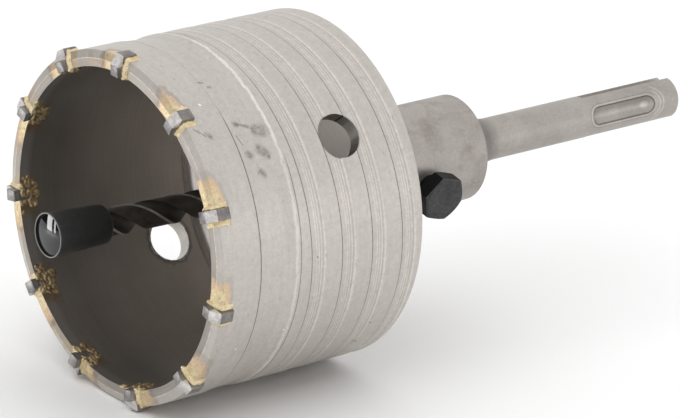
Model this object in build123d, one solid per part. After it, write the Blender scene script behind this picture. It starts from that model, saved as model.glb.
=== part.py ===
from build123d import *
from math import acos, cos, degrees, radians, sin, sqrt, tan
import os

# Hole saw with brazed carbide tips on a hammer-drill arbor, with a capped pilot drill.
# All sizes in millimetres and degrees. Each piece is modelled upright: Z is the tool
# axis and runs from the rim to the shank, and Z = 0 is the shoulder where the shank
# leaves the collar. Angles turn about Z from X, by the right hand. The finished
# pieces are laid down together, so the tool axis becomes +X and local Y becomes up,
# and rolled a little to where the tool comes to rest, against its lowest tip.

# Cup
CUP_DIAMETER = 80.0
CUP_LENGTH = 56.0
CUP_WALL = 3.7
CUP_BASE = 7.0
BACK_EDGE_RADIUS = 1.5
INNER_CORNER_RADIUS = 2.0
RIM_FLAT = 1.9
RIM_BEVEL_DROP = 0.6

# Turned recess round the cup, behind the tips, measured from the rim
RECESS_FRONT = 10.6
RECESS_STEP = 0.12
RECESS_TO_LOW = 6.9
RECESS_DEPTH = 0.58
RECESS_RISE = 2.8

# Spiral dust groove, from the recess to the back edge
SPIRAL_PITCH = 8.4
SPIRAL_WIDTH = 4.0
SPIRAL_DEPTH = 0.25
SPIRAL_REAR_SLOPE = 0.7
SPIRAL_PHASE = 160.0
SPIRAL_AT_PHASE = 23.9

# Side holes, drilled from the two sides of the cup
SIDE_HOLE_DIAMETER = 10.2
SIDE_HOLE_A_FROM_RIM = 37.3
SIDE_HOLE_A_ANGLE = 146.0
SIDE_HOLE_B_FROM_RIM = 38.0
SIDE_HOLE_B_ANGLE = -30.7

# Carbide tips
TIP_COUNT = 11
TIP_FIRST_ANGLE = 161.4
TIP_THICKNESS = 2.6
TIP_SEAT_DEPTH = 3.4
TIP_OUTSIDE = 1.15
TIP_INSIDE = 0.15
TIP_RIDGE_HEIGHT = 1.9
TIP_INNER_HEIGHT = 1.6
TIP_OUTER_HEIGHT = 0.3
TIP_RIDGE_FROM_BORE = 2.3
TIP_HEEL_RADIUS = 0.7

# Braze round each tip
BRAZE_SIDE = 1.3
BRAZE_UNDER = 0.15
BRAZE_PROUD = 0.35

# Arbor
NOSE_DIAMETER = 22.0
NOSE_PROUD = 1.5
NOSE_CHAMFER = 1.0
COLLAR_DIAMETER = 25.0
COLLAR_LENGTH = 41.7
COLLAR_CHAMFER = 0.4
SHANK_DIAMETER = 10.0
SHANK_LENGTH = 67.1
SHANK_CHAMFER = 0.7

# Hammer-drill shank grooves, measured from the shank's free end
BALL_GROOVE_RADIUS = 3.5
BALL_GROOVE_DEPTH = 1.4
BALL_GROOVE_FROM_END = 8.2
BALL_GROOVE_LENGTH = 19.8
BALL_GROOVE_ANGLE = 169.0
KEY_SLOT_WIDTH = 3.6
KEY_SLOT_DEPTH = 1.2
KEY_SLOT_LENGTH = 28.5
KEY_SLOT_RUNOUT = 1.4
KEY_SLOT_OFFSET = 90.0

# Pilot drill
DRILL_DIAMETER = 6.5
DRILL_LENGTH = 101.2
DRILL_POINT_ANGLE = 130.0
DRILL_LEAN = 1.4
FLUTE_PITCH = 27.6
FLUTE_LENGTH = 58.0
FLUTE_RADIUS = 2.0
FLUTE_RUNOUT = 3.0
FLUTE_ANGLE = -12.2
WEB_THICKNESS = 1.6
MARGIN_WIDTH = 0.7
MARGIN_HEIGHT = 0.12
BORE_PAST_BOLT = 7.5
BORE_PLAY = 0.05
BORE_END_GAP = 0.5

# Carbide plate in the pilot drill's point
PLATE_THICKNESS = 1.5
PLATE_LENGTH = 5.5
PLATE_PROUD = 0.4

# Cap on the pilot drill
CAP_FRONT_DIAMETER = 10.1
CAP_REAR_DIAMETER = 8.9
CAP_LENGTH = 14.9
CAP_FRONT_EDGE = 0.8
CAP_REAR_EDGE = 1.2
CAP_END_WALL = 2.6

# Set bolt
BOLT_DIAMETER = 6.0
BOLT_FROM_CUP = 24.0
BOLT_ANGLE = -165.0
BOLT_FLATS = 10.0
BOLT_HEAD = 4.0
BOLT_STANDOFF = 2.15
BOLT_TWIST = 16.3
BOLT_CORNER_CHAMFER = 0.75

# How far the tool rolls as it lies, from the angles given here
LYING_ROLL = -3.2

# Stations along the tool axis
CUP_RADIUS = CUP_DIAMETER / 2
BORE_RADIUS = CUP_RADIUS - CUP_WALL
Z_CUP_BACK = -COLLAR_LENGTH
Z_RIM = Z_CUP_BACK - CUP_LENGTH
Z_BASE_INSIDE = Z_CUP_BACK - CUP_BASE
Z_NOSE = Z_BASE_INSIDE - NOSE_PROUD
Z_BOLT = Z_CUP_BACK + BOLT_FROM_CUP
Z_BORE_END = Z_BOLT + BORE_PAST_BOLT
Z_DRILL_BACK = Z_BORE_END - BORE_END_GAP
Z_DRILL_POINT = Z_DRILL_BACK - DRILL_LENGTH
Z_PIVOT = (Z_NOSE + Z_DRILL_BACK) / 2
DRILL_RADIUS = DRILL_DIAMETER / 2

LAID_DOWN = Plane((0, 0, 0), x_dir=(0, 1, 0), z_dir=(1, 0, 0)).location * Rot(0, 0, LYING_ROLL)


def turned(points):
    """Solid of revolution from (radius, z) points."""
    return revolve(Plane.XZ * make_face(Polyline(*points, close=True)), Axis.Z)


def rounded_turned(points, corners):
    """Solid of revolution with given (radius, z) corners of its profile rounded."""
    face = make_face(Polyline(*points, close=True))
    for (r, z), size in corners:
        vertex = face.vertices().sort_by_distance((r, z, 0))[0]
        face = fillet(vertex, size)
    return revolve(Plane.XZ * face, Axis.Z)


def radial_plane(angle, z=0.0):
    """Plane through the tool axis: local x is radial, local y is along the axis."""
    out = (cos(radians(angle)), sin(radians(angle)), 0)
    side = (sin(radians(angle)), -cos(radians(angle)), 0)
    return Plane((0, 0, z), x_dir=out, z_dir=side)


def outward(angle, z, twist=0.0):
    """Plane facing straight out from the tool axis, its local x turned from +Z."""
    a, t = radians(angle), radians(twist)
    x_dir = (-sin(a) * sin(t), cos(a) * sin(t), cos(t))
    return Plane((0, 0, z), x_dir=x_dir, z_dir=(cos(a), sin(a), 0))


def tip_angles():
    return [TIP_FIRST_ANGLE + 360.0 * k / TIP_COUNT for k in range(TIP_COUNT)]


# Cup

def cup_blank():
    """Turned body: open mouth at the rim, solid back plate, bevelled rim, wide recess."""
    low = Z_RIM + RECESS_FRONT + RECESS_TO_LOW
    points = [
        (0, Z_BASE_INSIDE),
        (BORE_RADIUS, Z_BASE_INSIDE),
        (BORE_RADIUS, Z_RIM),
        (BORE_RADIUS + RIM_FLAT, Z_RIM),
        (CUP_RADIUS, Z_RIM + RIM_BEVEL_DROP),
        (CUP_RADIUS, Z_RIM + RECESS_FRONT),
        (CUP_RADIUS - RECESS_STEP, Z_RIM + RECESS_FRONT),
        (CUP_RADIUS - RECESS_DEPTH, low),
        (CUP_RADIUS, low + RECESS_RISE),
        (CUP_RADIUS, Z_CUP_BACK),
        (0, Z_CUP_BACK),
    ]
    corners = [
        ((BORE_RADIUS, Z_BASE_INSIDE), INNER_CORNER_RADIUS),
        ((CUP_RADIUS, Z_CUP_BACK), BACK_EDGE_RADIUS),
    ]
    return rounded_turned(points, corners)


def spiral_cutter():
    """Single-start right-hand spiral with a square front wall and a sloped rear wall."""
    start = Z_RIM + RECESS_FRONT + RECESS_TO_LOW - 1.0
    height = Z_CUP_BACK + SPIRAL_PITCH * 0.6 - start
    turns_back = (Z_RIM + SPIRAL_AT_PHASE - start) / SPIRAL_PITCH
    angle = SPIRAL_PHASE - 360.0 * turns_back
    floor = CUP_RADIUS - SPIRAL_DEPTH
    over = CUP_RADIUS + 0.6
    slope = SPIRAL_REAR_SLOPE * (over - floor) / SPIRAL_DEPTH
    section = Plane.XZ * make_face(Polyline(
        (floor, 0), (floor, SPIRAL_WIDTH - SPIRAL_REAR_SLOPE),
        (over, SPIRAL_WIDTH - SPIRAL_REAR_SLOPE + slope), (over, 0), close=True))
    path = Helix(pitch=SPIRAL_PITCH, height=height, radius=floor)
    swept = sweep(section, path=path, is_frenet=True)
    return Pos(0, 0, start) * Rot(0, 0, angle) * swept


def grooved_bar():
    """Bar of the cup's diameter with the spiral cut in it past both ends of the cup."""
    top = Z_CUP_BACK + SPIRAL_PITCH * 4
    bar = Pos(0, 0, (Z_RIM + top) / 2) * Cylinder(CUP_RADIUS, top - Z_RIM + 2)
    return bar - spiral_cutter()


def side_hole_cutter(from_rim, angle):
    """Round hole through the wall on one side only."""
    place = outward(angle, Z_RIM + from_rim) * Pos(0, 0, CUP_RADIUS - CUP_WALL / 2)
    return place * Cylinder(SIDE_HOLE_DIAMETER / 2, CUP_WALL * 3)


def tip_slot_cutter(angle):
    """Slot milled through the wall from the rim, wide enough for tip and braze."""
    depth = TIP_SEAT_DEPTH + BRAZE_UNDER
    width = TIP_THICKNESS + 2 * BRAZE_SIDE
    mid = CUP_RADIUS - CUP_WALL / 2
    slot = Pos(mid, 0, Z_RIM + depth / 2 - 1.0) * Box(CUP_WALL + 4, width, depth + 2.0)
    return Rot(0, 0, angle) * slot


def make_cup():
    cup = cup_blank() & grooved_bar()
    cup -= Pos(0, 0, Z_CUP_BACK - CUP_BASE / 2) * Cylinder(NOSE_DIAMETER / 2, CUP_BASE * 2)
    cup -= side_hole_cutter(SIDE_HOLE_A_FROM_RIM, SIDE_HOLE_A_ANGLE)
    cup -= side_hole_cutter(SIDE_HOLE_B_FROM_RIM, SIDE_HOLE_B_ANGLE)
    for angle in tip_angles():
        cup -= tip_slot_cutter(angle)
    return cup


# Cutting edge

def tip_profile():
    """Two-bevel cutting edge, wider than the wall on both sides."""
    inner = BORE_RADIUS - TIP_INSIDE
    outer = CUP_RADIUS + TIP_OUTSIDE
    return [
        (inner, Z_RIM + TIP_SEAT_DEPTH),
        (inner, Z_RIM - TIP_INNER_HEIGHT),
        (BORE_RADIUS + TIP_RIDGE_FROM_BORE, Z_RIM - TIP_RIDGE_HEIGHT),
        (outer, Z_RIM - TIP_OUTER_HEIGHT),
        (outer, Z_RIM + TIP_SEAT_DEPTH),
    ]


def make_tip(angle):
    face = make_face(Polyline(*tip_profile(), close=True))
    heel = face.vertices().sort_by_distance((*tip_profile()[-1], 0))[0]
    return extrude(radial_plane(angle) * fillet(heel, TIP_HEEL_RADIUS), TIP_THICKNESS / 2, both=True)


def make_braze(angle):
    """Filler metal that fills the slot round the tip and stands a little proud."""
    inner = BORE_RADIUS
    outer = CUP_RADIUS + BRAZE_PROUD
    bottom = Z_RIM + TIP_SEAT_DEPTH + BRAZE_UNDER
    top = Z_RIM - BRAZE_PROUD
    ease = BRAZE_PROUD + RIM_BEVEL_DROP
    points = [(inner, bottom), (inner, top), (outer - ease, top), (outer, top + ease), (outer, bottom)]
    face = radial_plane(angle) * make_face(Polyline(*points, close=True))
    return extrude(face, TIP_THICKNESS / 2 + BRAZE_SIDE, both=True) - make_tip(angle)


# Pilot drill, its plate and its cap, straight on the tool axis before they lean

def leaned(part):
    """The drill leans in its bore, its front end up, about the middle of its hold."""
    return Pos(0, 0, Z_PIVOT) * Rot(DRILL_LEAN, 0, 0) * Pos(0, 0, -Z_PIVOT) * part


def drill_envelope():
    point = DRILL_RADIUS / tan(radians(DRILL_POINT_ANGLE / 2))
    return turned([
        (0, Z_DRILL_POINT), (DRILL_RADIUS, Z_DRILL_POINT + point),
        (DRILL_RADIUS, Z_DRILL_BACK - 0.5), (DRILL_RADIUS - 0.5, Z_DRILL_BACK), (0, Z_DRILL_BACK)])


def twisted(section):
    """A section carried along the drill from its point, turning with the flutes."""
    lead = 1.0
    length = FLUTE_LENGTH + lead
    solid = Solid.extrude_linear_with_rotation(
        section.face(), center=(0, 0, 0), normal=(0, 0, length), angle=360.0 * length / FLUTE_PITCH)
    turned_back = FLUTE_ANGLE - 360.0 * lead / FLUTE_PITCH
    return Pos(0, 0, Z_DRILL_POINT - lead) * Rot(0, 0, turned_back) * Part(solid.wrapped)


def flute_section():
    """Round flute, centred on local X."""
    return Pos(WEB_THICKNESS / 2 + FLUTE_RADIUS, 0) * Circle(FLUTE_RADIUS)


def land_relief_section():
    """What is ground off a land behind its margin, to its heel."""
    centre = WEB_THICKNESS / 2 + FLUTE_RADIUS
    reach_in = (DRILL_RADIUS ** 2 + centre ** 2 - FLUTE_RADIUS ** 2) / (2 * centre)
    half_flute = degrees(acos(reach_in / DRILL_RADIUS))
    start = half_flute + degrees(MARGIN_WIDTH / DRILL_RADIUS)
    end = 180 - half_flute * 0.8
    reach = 4 * DRILL_RADIUS
    corners = [(reach * cos(radians(a)), reach * sin(radians(a))) for a in (start, end)]
    ring = Circle(2 * DRILL_RADIUS) - Circle(DRILL_RADIUS - MARGIN_HEIGHT)
    return ring & make_face(Polyline((0, 0), *corners, close=True))


def flute_runout():
    """The full drill behind the flutes, with a cone in front that the flutes rise along."""
    end = Z_DRILL_POINT + FLUTE_LENGTH
    slope = FLUTE_RUNOUT / (DRILL_RADIUS - WEB_THICKNESS / 2)
    wide = 2 * DRILL_RADIUS
    return turned([
        (0, end - slope * DRILL_RADIUS), (wide, end + slope * (wide - DRILL_RADIUS)),
        (wide, Z_DRILL_BACK + 1), (0, Z_DRILL_BACK + 1)])


def plate_blank():
    """Flat carbide plate with a roof-shaped front edge."""
    roof = DRILL_RADIUS / tan(radians(DRILL_POINT_ANGLE / 2))
    front = Z_DRILL_POINT - PLATE_PROUD
    face = radial_plane(FLUTE_ANGLE + 90) * make_face(Polyline(
        (0, front), (DRILL_RADIUS, front + roof), (DRILL_RADIUS, Z_DRILL_POINT + PLATE_LENGTH),
        (-DRILL_RADIUS, Z_DRILL_POINT + PLATE_LENGTH), (-DRILL_RADIUS, front + roof), close=True))
    return extrude(face, PLATE_THICKNESS / 2, both=True)


def make_plate():
    return leaned(plate_blank() & Pos(0, 0, Z_DRILL_POINT) * Cylinder(DRILL_RADIUS, 4 * PLATE_LENGTH))


def make_drill():
    """Two twisted flutes, and behind each one a land with a raised margin at its cutting side."""
    drill = drill_envelope()
    for section in (flute_section(), land_relief_section()):
        cutter = twisted(section) - flute_runout()
        drill -= cutter
        drill -= Rot(0, 0, 180) * cutter
    return leaned(drill - plate_blank())


def make_cap():
    """Moulded cap: flat front disc with a rounded edge, tapering to the open end."""
    front = Z_DRILL_POINT - PLATE_PROUD - 0.2 - CAP_END_WALL
    back = front + CAP_LENGTH
    body = rounded_turned(
        [(0, front), (CAP_FRONT_DIAMETER / 2, front), (CAP_REAR_DIAMETER / 2, back), (0, back)],
        [((CAP_FRONT_DIAMETER / 2, front), CAP_FRONT_EDGE), ((CAP_REAR_DIAMETER / 2, back), CAP_REAR_EDGE)])
    hollow = CAP_LENGTH - CAP_END_WALL
    return leaned(body - Pos(0, 0, back - hollow / 2) * Cylinder(DRILL_RADIUS, hollow))


# Arbor

def arbor_blank():
    """Nose that screws into the cup, collar and shank, turned as one piece."""
    nose, collar, shank = NOSE_DIAMETER / 2, COLLAR_DIAMETER / 2, SHANK_DIAMETER / 2
    return turned([
        (0, Z_NOSE), (nose - NOSE_CHAMFER, Z_NOSE), (nose, Z_NOSE + NOSE_CHAMFER), (nose, Z_CUP_BACK),
        (collar, Z_CUP_BACK), (collar, -COLLAR_CHAMFER), (collar - COLLAR_CHAMFER, 0), (shank, 0),
        (shank, SHANK_LENGTH - SHANK_CHAMFER), (shank - SHANK_CHAMFER, SHANK_LENGTH), (0, SHANK_LENGTH)])


def ball_groove_cutter(angle):
    """Closed groove with ball ends, for the chuck's locking balls."""
    centre = SHANK_DIAMETER / 2 - BALL_GROOVE_DEPTH + BALL_GROOVE_RADIUS
    rise = BALL_GROOVE_RADIUS - BALL_GROOVE_DEPTH
    reach = sqrt(BALL_GROOVE_RADIUS ** 2 - rise ** 2)
    far = SHANK_LENGTH - BALL_GROOVE_FROM_END - reach
    near = SHANK_LENGTH - BALL_GROOVE_FROM_END - BALL_GROOVE_LENGTH + reach
    cutter = Pos(centre, 0, (far + near) / 2) * Cylinder(BALL_GROOVE_RADIUS, far - near)
    for z in (near, far):
        cutter += Pos(centre, 0, z) * Sphere(BALL_GROOVE_RADIUS)
    return Rot(0, 0, angle) * cutter


def key_slot_cutter(angle):
    """Flat slot that runs out of the shank's end and rises to the surface at its front."""
    r = SHANK_DIAMETER / 2
    floor = r - KEY_SLOT_DEPTH
    front = SHANK_LENGTH - KEY_SLOT_LENGTH
    end = SHANK_LENGTH + 1
    points = [(r + 1, front), (r, front), (floor, front + KEY_SLOT_RUNOUT), (floor, end), (r + 1, end)]
    face = radial_plane(angle) * make_face(Polyline(*points, close=True))
    return extrude(face, KEY_SLOT_WIDTH / 2, both=True)


def drill_bore_cutter():
    """Bore with enough room for the drill to lean."""
    depth = Z_BORE_END - Z_NOSE
    lean_room = depth / 2 * tan(radians(DRILL_LEAN))
    radius = DRILL_RADIUS / cos(radians(DRILL_LEAN)) + lean_room + BORE_PLAY
    return Pos(0, 0, Z_NOSE + depth / 2) * Cylinder(radius, depth)


def make_arbor():
    arbor = arbor_blank() - drill_bore_cutter()
    arbor -= outward(BOLT_ANGLE, Z_BOLT) * Pos(0, 0, COLLAR_DIAMETER / 2) * Cylinder(
        BOLT_DIAMETER / 2, COLLAR_DIAMETER)
    for turn in (0, 180):
        arbor -= ball_groove_cutter(BALL_GROOVE_ANGLE + turn)
        arbor -= key_slot_cutter(BALL_GROOVE_ANGLE + KEY_SLOT_OFFSET + turn)
    return arbor


# Set bolt

def make_set_bolt():
    """Hexagon bolt through the collar wall, its end against the leaning drill."""
    under_head = COLLAR_DIAMETER / 2 + BOLT_STANDOFF
    top = under_head + BOLT_HEAD
    drop = (Z_BOLT - Z_PIVOT) * tan(radians(DRILL_LEAN))
    end = DRILL_RADIUS / cos(radians(DRILL_LEAN)) - drop * sin(radians(BOLT_ANGLE)) + 0.02
    corner = BOLT_FLATS / sqrt(3)
    head = Pos(0, 0, under_head) * extrude(RegularPolygon(corner, 6), BOLT_HEAD)
    head &= turned([
        (0, under_head), (corner - BOLT_CORNER_CHAMFER, under_head),
        (corner, under_head + BOLT_CORNER_CHAMFER * 0.5), (corner, top - BOLT_CORNER_CHAMFER * 0.5),
        (corner - BOLT_CORNER_CHAMFER, top), (0, top)])
    stem = Pos(0, 0, (end + under_head) / 2) * Cylinder(BOLT_DIAMETER / 2, under_head - end)
    return outward(BOLT_ANGLE, Z_BOLT, BOLT_TWIST) * (head + stem)


def make_all():
    nodes = {
        "cup": make_cup(),
        "arbor": make_arbor(),
        "set_bolt": make_set_bolt(),
        "pilot_drill": make_drill(),
        "pilot_tip": make_plate(),
        "tip_cap": make_cap(),
    }
    for number, angle in enumerate(tip_angles(), start=1):
        nodes[f"carbide_tip_{number:02d}"] = make_tip(angle)
        nodes[f"braze_{number:02d}"] = make_braze(angle)
    return nodes


os.makedirs("parts", exist_ok=True)
for name, part in make_all().items():
    export_step(LAID_DOWN * part, f"parts/{name}.step")
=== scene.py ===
import bpy
import bmesh
import math
import random
from mathutils import Matrix, Vector, noise


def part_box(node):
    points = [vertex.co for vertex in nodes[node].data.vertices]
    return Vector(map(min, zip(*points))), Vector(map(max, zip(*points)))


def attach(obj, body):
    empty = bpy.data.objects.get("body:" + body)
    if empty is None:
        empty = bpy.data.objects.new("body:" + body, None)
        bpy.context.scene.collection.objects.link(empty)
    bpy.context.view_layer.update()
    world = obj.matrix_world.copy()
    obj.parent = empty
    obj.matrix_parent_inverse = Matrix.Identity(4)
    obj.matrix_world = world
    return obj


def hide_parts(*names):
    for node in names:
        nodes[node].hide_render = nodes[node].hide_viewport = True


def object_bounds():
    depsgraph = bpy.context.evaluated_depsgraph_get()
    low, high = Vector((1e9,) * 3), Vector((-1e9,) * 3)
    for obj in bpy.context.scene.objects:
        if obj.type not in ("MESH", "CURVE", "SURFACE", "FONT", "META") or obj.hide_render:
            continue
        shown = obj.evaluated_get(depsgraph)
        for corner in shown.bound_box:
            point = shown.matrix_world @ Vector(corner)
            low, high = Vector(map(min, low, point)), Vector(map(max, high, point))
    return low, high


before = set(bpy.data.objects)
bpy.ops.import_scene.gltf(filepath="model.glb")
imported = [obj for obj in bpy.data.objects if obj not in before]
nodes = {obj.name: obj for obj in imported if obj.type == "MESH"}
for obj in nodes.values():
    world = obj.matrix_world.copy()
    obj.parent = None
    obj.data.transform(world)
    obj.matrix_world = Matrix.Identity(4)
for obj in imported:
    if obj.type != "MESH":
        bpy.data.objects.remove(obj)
cad_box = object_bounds()

# Hole saw lying on its side. The tool axis is X, and the rim faces -X. Places are in metres unless a
# name or comment says mm. Angles are in degrees round the axis: 0 is straight down and 90 is +Y.
# They are counted on the tool before it rolls to where it rests.
MM = 0.001
DEGREE = math.pi / 180.0
TIP_COUNT = 11
TIP_STEP = 360.0 / TIP_COUNT
ROLL = -3.2
WALL = 3.7 * MM
RIM_FLAT = 1.9 * MM
RIM_BEVEL_DROP = 0.6 * MM
END_PLATE = 49.0 * MM

cup_low, cup_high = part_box("cup")
RIM = cup_low.x
CUP_RADIUS = (cup_high.y - cup_low.y) / 2
BORE = CUP_RADIUS - WALL
TIP_RIDGE = (BORE + 2.3 * MM, -1.9 * MM)


def middle_of(name):
    """Mean place of a node's corners."""
    corners = nodes[name].data.vertices
    return sum((v.co for v in corners), Vector()) / len(corners)


def turn_of(point):
    """Angle round the tool axis of a point."""
    return math.degrees(math.atan2(point.y, -point.z)) - ROLL


def round_frame(turn, x):
    """Local x points out from the tool axis, y round it and z back along it, from a station x."""
    a = math.radians(turn + ROLL)
    out, side, back = (0, math.sin(a), -math.cos(a)), (0, math.cos(a), math.sin(a)), (1, 0, 0)
    return Matrix.Translation((x, 0, 0)) @ Matrix((out, side, back)).transposed().to_4x4()


FIRST_TIP = turn_of(middle_of("carbide_tip_01"))


# Shader helpers

class Finish:
    """A new material with its Principled shader, and short ways to add nodes to it."""

    def __init__(self, name):
        self.material = bpy.data.materials.new(name)
        self.material.use_nodes = True
        self.tree = self.material.node_tree
        self.tree.nodes.clear()
        self.out = self.tree.nodes.new("ShaderNodeOutputMaterial")
        self.shader = self.tree.nodes.new("ShaderNodeBsdfPrincipled")
        self.tree.links.new(self.shader.outputs[0], self.out.inputs[0])
        self.coords = self.tree.nodes.new("ShaderNodeTexCoord").outputs["Object"]
        self.place = None

    def put(self, value, socket):
        if isinstance(value, bpy.types.NodeSocket):
            self.tree.links.new(value, socket)
        else:
            socket.default_value = value

    def set(self, **values):
        for name, value in values.items():
            self.put(value, self.shader.inputs[name.replace("_", " ")])

    def math(self, operation, a, b=0.5, c=0.5, clamp=False):
        node = self.tree.nodes.new("ShaderNodeMath")
        node.operation, node.use_clamp = operation, clamp
        for value, socket in zip((a, b, c), node.inputs):
            self.put(value, socket)
        return node.outputs[0]

    def vector(self, operation, a, b, result=0):
        node = self.tree.nodes.new("ShaderNodeVectorMath")
        node.operation = operation
        self.put(a, node.inputs[0])
        self.put(b, node.inputs[1])
        return node.outputs[result]

    def dot(self, a, b):
        return self.vector("DOT_PRODUCT", a, b, 1)

    def distance(self, a, b):
        return self.vector("DISTANCE", a, b, 1)

    def scaled(self, vector, factor):
        node = self.tree.nodes.new("ShaderNodeVectorMath")
        node.operation = "SCALE"
        self.put(vector, node.inputs[0])
        self.put(factor, node.inputs["Scale"])
        return node.outputs[0]

    def add(self, a, b):
        return self.math("ADD", a, b)

    def sub(self, a, b):
        return self.math("SUBTRACT", a, b)

    def mul(self, a, b):
        return self.math("MULTIPLY", a, b)

    def line(self, value, factor, offset):
        return self.math("MULTIPLY_ADD", value, factor, offset)

    def most(self, *masks):
        """The largest of several masks."""
        result = masks[0]
        for mask in masks[1:]:
            result = self.math("MAXIMUM", result, mask)
        return result

    def product(self, *masks):
        """Where all of several masks hold."""
        result = masks[0]
        for mask in masks[1:]:
            result = self.mul(result, mask)
        return result

    def ramp(self, value, low, high, out_low=0.0, out_high=1.0):
        node = self.tree.nodes.new("ShaderNodeMapRange")
        for index, item in enumerate((value, low, high, out_low, out_high)):
            self.put(item, node.inputs[index])
        return node.outputs[0]

    def span(self, a, b):
        """Length of the vector that has a and b as its parts."""
        return self.math("SQRT", self.add(self.mul(a, a), self.mul(b, b)))

    def near(self, value, centre, half, soft):
        """1 where value is within half of centre, fading over soft."""
        return self.ramp(self.math("ABSOLUTE", self.sub(value, centre)), half + soft, half)

    def noise(self, scale, detail=2.0, rough=0.5, stretch=(1, 1, 1), shift=(0, 0, 0)):
        mapping = self.tree.nodes.new("ShaderNodeMapping")
        self.put(self.coords, mapping.inputs[0])
        mapping.inputs["Location"].default_value = shift
        mapping.inputs["Scale"].default_value = stretch
        node = self.tree.nodes.new("ShaderNodeTexNoise")
        self.put(mapping.outputs[0], node.inputs["Vector"])
        self.put(scale, node.inputs["Scale"])
        self.put(detail, node.inputs["Detail"])
        self.put(rough, node.inputs["Roughness"])
        return node.outputs[0]

    def tool(self):
        """Distance behind the rim in mm, angle round the axis in degrees and radius in mm."""
        if self.place is None:
            parts = self.tree.nodes.new("ShaderNodeSeparateXYZ")
            self.put(self.coords, parts.inputs[0])
            x, y, z = parts.outputs
            behind = self.line(x, 1 / MM, -RIM / MM)
            turn = self.line(self.math("ARCTAN2", y, self.mul(z, -1.0)), 1 / DEGREE, -ROLL)
            radius = self.span(y, z)
            self.place = behind, turn, self.mul(radius, 1 / MM)
        return self.place

    def turning_lines(self, per_mm, wander, detail=3.0, rough=0.6, shift=0.0):
        """Fine lines that run round the axis, on walls and faces alike, with no seam."""
        behind, turn, radius = self.tool()
        angle = self.mul(turn, DEGREE)
        point = self.tree.nodes.new("ShaderNodeCombineXYZ")
        self.put(self.line(behind, per_mm, shift), point.inputs[0])
        self.put(self.mul(radius, per_mm), point.inputs[1])
        self.put(self.mul(self.math("COSINE", angle), wander), point.inputs[2])
        node = self.tree.nodes.new("ShaderNodeTexNoise")
        node.noise_dimensions = "4D"
        self.put(point.outputs[0], node.inputs["Vector"])
        self.put(self.mul(self.math("SINE", angle), wander), node.inputs["W"])
        self.put(1.0, node.inputs["Scale"])
        self.put(detail, node.inputs["Detail"])
        self.put(rough, node.inputs["Roughness"])
        return node.outputs[0]

    def mix(self, share, a, b):
        node = self.tree.nodes.new("ShaderNodeMix")
        node.data_type = "RGBA"
        self.put(share, node.inputs[0])
        self.put(a, node.inputs[6])
        self.put(b, node.inputs[7])
        return node.outputs[2]

    def tint(self, colour, share, strength):
        """Colour times a grey that runs from 1 to strength as share runs from 0 to 1."""
        return self.scaled(colour if isinstance(colour, bpy.types.NodeSocket) else colour[:3],
                           self.line(share, strength - 1.0, 1.0))

    def vary(self, colour, noise, strength):
        """Colour made lighter and darker by a noise, up to strength times as light."""
        return self.tint(colour, self.ramp(noise, 0.3, 0.7, -1.0, 1.0), strength)

    def stroke(self, across, along, start, end, width, soft):
        """1 along a straight mark between two (across, along) points, in mm."""
        point = self.tree.nodes.new("ShaderNodeCombineXYZ")
        self.put(across, point.inputs[0])
        self.put(along, point.inputs[1])
        a, b = Vector((*start, 0)), Vector((*end, 0))
        run = b - a
        offset = self.vector("SUBTRACT", point.outputs[0], a)
        share = self.math("DIVIDE", self.dot(offset, run), run.length_squared, clamp=True)
        path = self.tree.nodes.new("ShaderNodeCombineXYZ")
        self.put(self.mul(share, run.x), path.inputs[0])
        self.put(self.mul(share, run.y), path.inputs[1])
        distance = self.distance(offset, path.outputs[0])
        return self.ramp(distance, width / 2 + soft, width / 2)

    def bump(self, height, distance, strength=1.0):
        node = self.tree.nodes.new("ShaderNodeBump")
        node.inputs["Distance"].default_value = distance
        node.inputs["Strength"].default_value = strength
        self.put(height, node.inputs["Height"])
        return node.outputs[0]


def grey(level, warm=0.0):
    return (level * (1 + warm), level, level * (1 - warm), 1.0)


# Cup finish. Marks on its side are given as angle and mm behind the rim at their start and end,
# then their width and blur in mm. A pair of colours is the dark and the light end of a mottle.
# Distances behind the rim and radii are in mm. BORE_WALL and CUP_SKIN are the radii of the bore and of the
# cup's side, RIM_EDGE is where the rim's flat meets its bevel, BORE_FOOT is past the bore's end and FILM_TURN
# is the middle of the stretch of rim that keeps a film of braze.

STEEL = (0.550, 0.517, 0.480, 1)
# The bore's steel is painted dark, as the shade inside the cup.
SHADED_BORE_STEEL = (0.270, 0.250, 0.230, 1)
STRAW = (0.66, 0.50, 0.265, 1)
CREAM = (0.80, 0.70, 0.47, 1)
FLUSH_ORANGE = (0.60, 0.37, 0.24, 1)
BURNT_BROWN = (0.22, 0.13, 0.07, 1)
RIM_STEEL = (0.355, 0.326, 0.292, 1)
CORNER_STEEL = (0.620, 0.585, 0.560, 1)
HEAT_STAIN = (0.16, 0.09, 0.045, 1), (0.42, 0.28, 0.14, 1)
BURNT_FILM = (0.36, 0.235, 0.125, 1), (0.62, 0.47, 0.27, 1)
# Black of the shadow painted round the far side hole's edge.
HOLE_SHADOW_BLACK = (0.05, 0.045, 0.04, 1)

BORE_WALL, CUP_SKIN = BORE / MM, CUP_RADIUS / MM
RIM_EDGE = (BORE + RIM_FLAT) / MM
BORE_FOOT = END_PLATE / MM + 1.0
FILM_TURN = 95.0

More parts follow.
